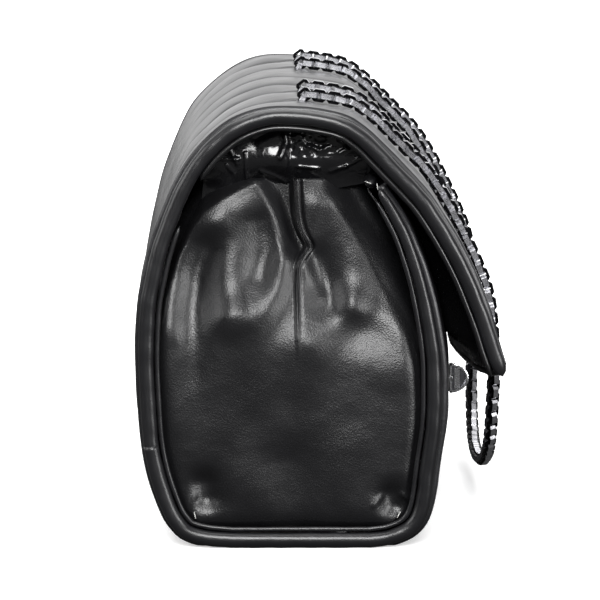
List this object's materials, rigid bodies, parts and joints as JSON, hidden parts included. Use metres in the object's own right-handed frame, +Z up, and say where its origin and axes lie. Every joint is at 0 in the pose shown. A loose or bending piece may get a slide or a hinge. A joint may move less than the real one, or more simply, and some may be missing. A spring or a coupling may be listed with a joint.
{
  "type": "quilted shoulder bag",
  "caption": "Box-shaped shoulder bag with a channel-quilted leather shell, folding flap, pleated end gussets, box-link chain strap in two loops and a turn lock",
  "frame": {"origin": "centre of the flat base, on the surface it stands on", "axes": "+Z up, X along the bag's width (right end +X), front with the lock toward -Y"},
  "size_m": [0.25, 0.1458, 0.1763],
  "materials": {
    "quilted_leather": "smooth coated black leather, satin, quilted in straight channels",
    "edge_leather": "smooth coated black leather, rolled edges and piping",
    "lining": "thin glossy black lining, creased",
    "board": "pressed grey board",
    "chain_metal": "gunmetal plated box links",
    "lock_metal": "polished plated metal"
  },
  "bodies": {
    "bag": {"front_panel": "quilted_leather", "base_panel": "quilted_leather", "back_panel": "quilted_leather", "base_board": "board", "edge_binding_left": "edge_leather", "edge_binding_right": "edge_leather", "mouth_binding": "edge_leather", "gusset_left": "quilted_leather", "gusset_right": "quilted_leather", "gusset_piping_left": "edge_leather", "gusset_piping_right": "edge_leather", "lining_front": "lining", "lining_back": "lining", "lining_base": "lining", "lining_left": "lining", "lining_right": "lining", "slip_pocket": "lining", "slip_pocket_binding": "lining", "lock_base_plate": "lock_metal", "lock_washer_plate": "lock_metal"},
    "flap": {"flap_panel": "quilted_leather", "flap_lining": "lining", "flap_binding_left": "edge_leather", "flap_binding_right": "edge_leather", "flap_front_binding": "edge_leather", "flap_piping_left": "edge_leather", "flap_piping_right": "edge_leather", "flap_slot_plate": "lock_metal", "flap_slot_backing": "lock_metal", "chain_bight_left": "chain_metal", "chain_bight_right": "chain_metal"},
    "outer_runs": {"chain_outer_run_left": "chain_metal", "chain_outer_run_right": "chain_metal"},
    "outer_drop": {"chain_outer_drop": "chain_metal"},
    "inner_loop": {"chain_inner_loop": "chain_metal"},
    "thumb_turn": {"lock_knob": "lock_metal"}
  },
  "joints": [
    {"name": "flap_fold", "type": "hinge", "parent": "bag", "child": "flap", "pos_m": [0, 0.04908, 0.13261], "axis": [-1, 0, 0], "range_deg": [0, 160]},
    {"name": "outer_loop_swing", "type": "hinge", "parent": "flap", "child": "outer_runs", "pos_m": [0, -0.0054, 0.17466], "axis": [-1, 0, 0], "range_deg": [0, 130]},
    {"name": "outer_drop_swing", "type": "hinge", "parent": "outer_runs", "child": "outer_drop", "pos_m": [0, -0.0817, 0.069], "axis": [-1, 0, 0], "range_deg": [0, 80]},
    {"name": "inner_loop_swing", "type": "hinge", "parent": "flap", "child": "inner_loop", "pos_m": [0, -0.0054, 0.17466], "axis": [-1, 0, 0], "range_deg": [0, 130]},
    {"name": "lock_turn", "type": "hinge", "parent": "bag", "child": "thumb_turn", "pos_m": [0, -0.06618, 0.04799], "axis": [0, -1, 0], "range_deg": [0, 90]}
  ]
}
